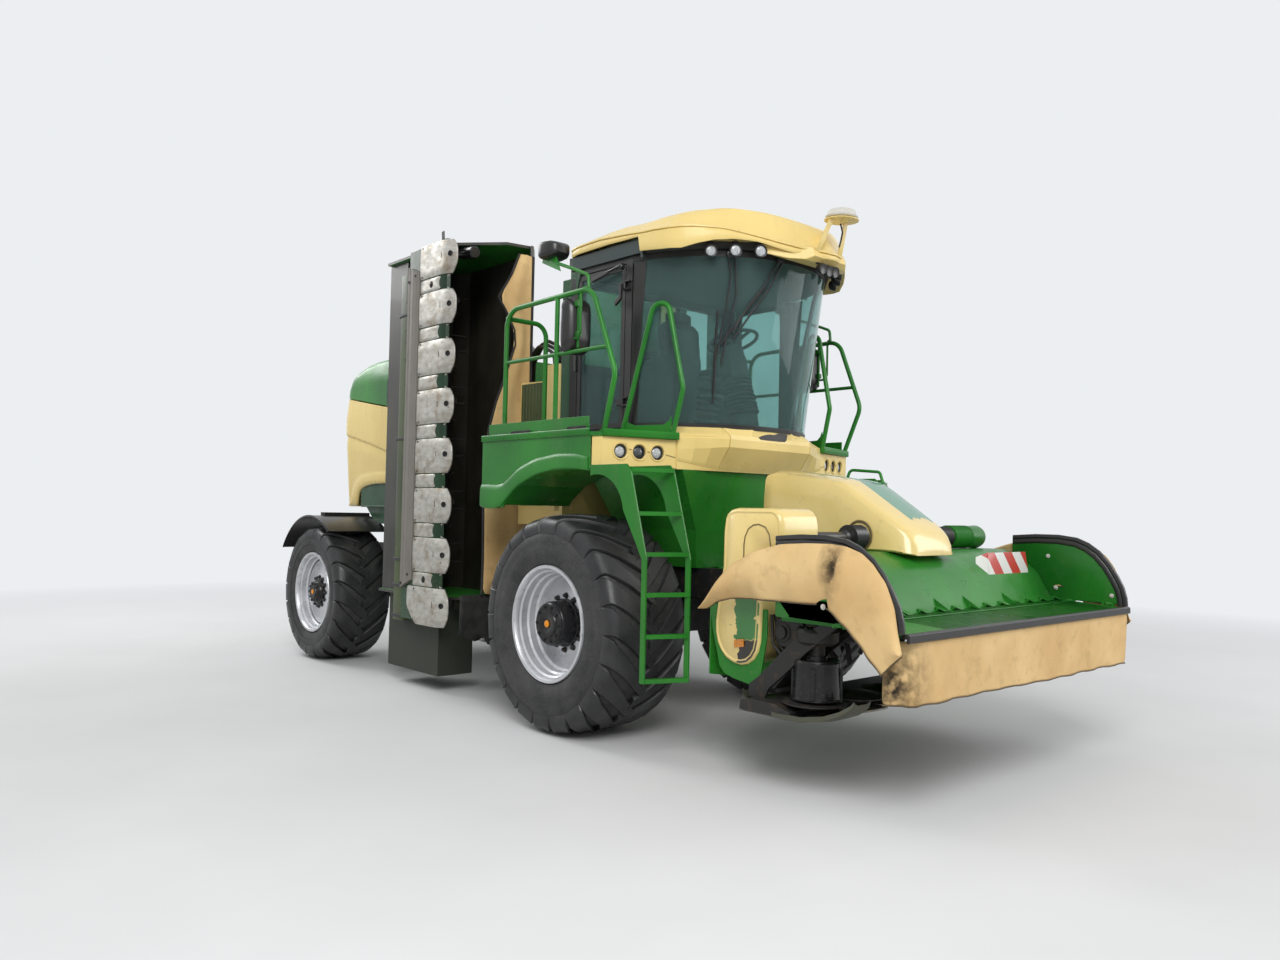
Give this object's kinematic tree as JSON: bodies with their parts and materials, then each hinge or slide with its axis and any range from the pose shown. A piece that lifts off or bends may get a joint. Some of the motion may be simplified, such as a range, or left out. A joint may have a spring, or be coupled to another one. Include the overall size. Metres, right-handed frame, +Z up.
{
  "type": "self-propelled mower conditioner",
  "caption": "Self-propelled mower conditioner with cab, side mowers folded upright, raised front mower, rear steering and folding guards.",
  "frame": {"origin": "on the ground under the middle of the machine's overall box", "axes": "+X forward to the front mower, +Y to the driver's left, +Z up"},
  "size_m": [7.928, 3, 3.952],
  "materials": {
    "tyre_rubber": "matte",
    "rim_silver": "satin",
    "green_paint": "gloss",
    "cream_paint": "gloss",
    "flap_rubber": "matte",
    "black_paint": "satin",
    "grey_iron": "matte",
    "worn_steel": "worn",
    "tan_canvas": "matte",
    "cab_black": "matte",
    "cab_glazing": "gloss",
    "seat_cloth": "matte",
    "lamp_glass": "gloss",
    "mirror_black": "gloss",
    "white_plastic": "satin"
  },
  "bodies": {
    "chassis": {"chassis_frame": "black_paint", "front_axle": "black_paint", "rear_axle": "black_paint", "engine_block": "grey_iron", "side_carriers": "green_paint", "rear_hood": "green_paint", "rear_panels": "cream_paint", "core_housing": "green_paint", "service_panels": "cream_paint", "front_body": "green_paint", "decks": "green_paint", "front_fascia": "cream_paint", "ladders": "green_paint", "handrails": "green_paint", "cab_frame": "cab_black", "cab_glass": "cab_glazing", "cab_roof": "cream_paint", "operator_seat": "seat_cloth", "cab_console": "cab_black", "steering_column": "cab_black", "roof_receiver": "white_plastic", "mirrors": "mirror_black", "work_lamps": "lamp_glass"},
    "front_wheel_right": {"front_tyre_right": "tyre_rubber", "front_wheel_right": "rim_silver"},
    "knuckle_right": {"knuckle_right": "black_paint", "mudguard_right": "mirror_black"},
    "rear_wheel_right": {"rear_tyre_right": "tyre_rubber", "rear_wheel_right": "rim_silver"},
    "door_right": {"door_right": "cab_black", "door_glass_right": "cab_glazing"},
    "side_mower_right": {"side_hood_right": "green_paint", "side_cutter_bar_right": "worn_steel", "side_curtain_right": "tan_canvas", "side_skirt_right": "flap_rubber"},
    "side_reel_right": {"side_reel_right": "black_paint"},
    "front_wheel_left": {"front_tyre_left": "tyre_rubber", "front_wheel_left": "rim_silver"},
    "knuckle_left": {"knuckle_left": "black_paint", "mudguard_left": "mirror_black"},
    "rear_wheel_left": {"rear_tyre_left": "tyre_rubber", "rear_wheel_left": "rim_silver"},
    "door_left": {"door_left": "cab_black", "door_glass_left": "cab_glazing"},
    "side_mower_left": {"side_hood_left": "green_paint", "side_cutter_bar_left": "worn_steel", "side_curtain_left": "tan_canvas", "side_skirt_left": "flap_rubber"},
    "side_reel_left": {"side_reel_left": "black_paint"},
    "lift_arms": {"lift_arms": "black_paint"},
    "front_mower": {"front_hood": "green_paint", "front_cutter_bar": "worn_steel", "front_curtain": "tan_canvas", "front_covers": "cream_paint", "drive_shafts": "black_paint"},
    "front_reel": {"front_reel": "black_paint"},
    "side_guard_right": {"side_guard_right": "green_paint", "side_canvas_right": "tan_canvas"},
    "side_guard_left": {"side_guard_left": "green_paint", "side_canvas_left": "tan_canvas"}
  },
  "joints": [
    {"name": "front_wheel_right_spin", "type": "hinge", "parent": "chassis", "child": "front_wheel_right", "pos_m": [1.0225, -1.145, 0.8], "axis": [0, 1, 0], "continuous": true},
    {"name": "steer_right", "type": "hinge", "parent": "chassis", "child": "knuckle_right", "pos_m": [-3.2605, -0.72, 0.705], "axis": [0, 0, 1], "range_deg": [-28, 28]},
    {"name": "rear_wheel_right_spin", "type": "hinge", "parent": "knuckle_right", "child": "rear_wheel_right", "pos_m": [-3.2605, -1.1, 0.705], "axis": [0, 1, 0], "continuous": true},
    {"name": "door_right_swing", "type": "hinge", "parent": "chassis", "child": "door_right", "pos_m": [1.2185, -0.964, 2.9], "axis": [0, 0, 1], "range_deg": [0, 40]},
    {"name": "side_mower_right_fold", "type": "hinge", "parent": "chassis", "child": "side_mower_right", "pos_m": [-1.0275, -0.86, 0.73], "axis": [1, 0, 0], "range_deg": [0, 90]},
    {"name": "side_reel_right_spin", "type": "hinge", "parent": "side_mower_right", "child": "side_reel_right", "pos_m": [-1.3475, -1, 2], "axis": [0, 0, 1], "continuous": true},
    {"name": "front_wheel_left_spin", "type": "hinge", "parent": "chassis", "child": "front_wheel_left", "pos_m": [1.0225, 1.145, 0.8], "axis": [0, 1, 0], "continuous": true},
    {"name": "steer_left", "type": "hinge", "parent": "chassis", "child": "knuckle_left", "pos_m": [-3.2605, 0.72, 0.705], "axis": [0, 0, 1], "range_deg": [-28, 28]},
    {"name": "rear_wheel_left_spin", "type": "hinge", "parent": "knuckle_left", "child": "rear_wheel_left", "pos_m": [-3.2605, 1.1, 0.705], "axis": [0, 1, 0], "continuous": true},
    {"name": "door_left_swing", "type": "hinge", "parent": "chassis", "child": "door_left", "pos_m": [1.2185, 0.964, 2.9], "axis": [0, 0, -1], "range_deg": [0, 40]},
    {"name": "side_mower_left_fold", "type": "hinge", "parent": "chassis", "child": "side_mower_left", "pos_m": [-1.0275, 0.86, 0.73], "axis": [-1, 0, 0], "range_deg": [0, 90]},
    {"name": "side_reel_left_spin", "type": "hinge", "parent": "side_mower_left", "child": "side_reel_left", "pos_m": [-1.3475, 1, 2], "axis": [0, 0, 1], "continuous": true},
    {"name": "front_lift", "type": "hinge", "parent": "chassis", "child": "lift_arms", "pos_m": [1.7225, 0, 1.095], "axis": [0, 1, 0], "range_deg": [0, 33]},
    {"name": "front_mower_level", "type": "hinge", "parent": "lift_arms", "child": "front_mower", "pos_m": [2.2875, 0, 1.18], "axis": [0, 1, 0], "range_deg": [-33, 0]},
    {"name": "front_reel_spin", "type": "hinge", "parent": "front_mower", "child": "front_reel", "pos_m": [2.6625, 0, 0.83], "axis": [0, 1, 0], "continuous": true},
    {"name": "side_guard_right_fold", "type": "hinge", "parent": "front_mower", "child": "side_guard_right", "pos_m": [3.6825, -1.402, 1.04], "axis": [1, 0, 0], "range_deg": [0, 90]},
    {"name": "side_guard_left_fold", "type": "hinge", "parent": "front_mower", "child": "side_guard_left", "pos_m": [3.6825, 1.402, 1.04], "axis": [-1, 0, 0], "range_deg": [0, 90]}
  ],
  "couplings": [
    {"joint": "front_mower_level", "follows": "front_lift", "ratio": -1},
    {"joint": "steer_left", "follows": "steer_right", "ratio": 1}
  ]
}
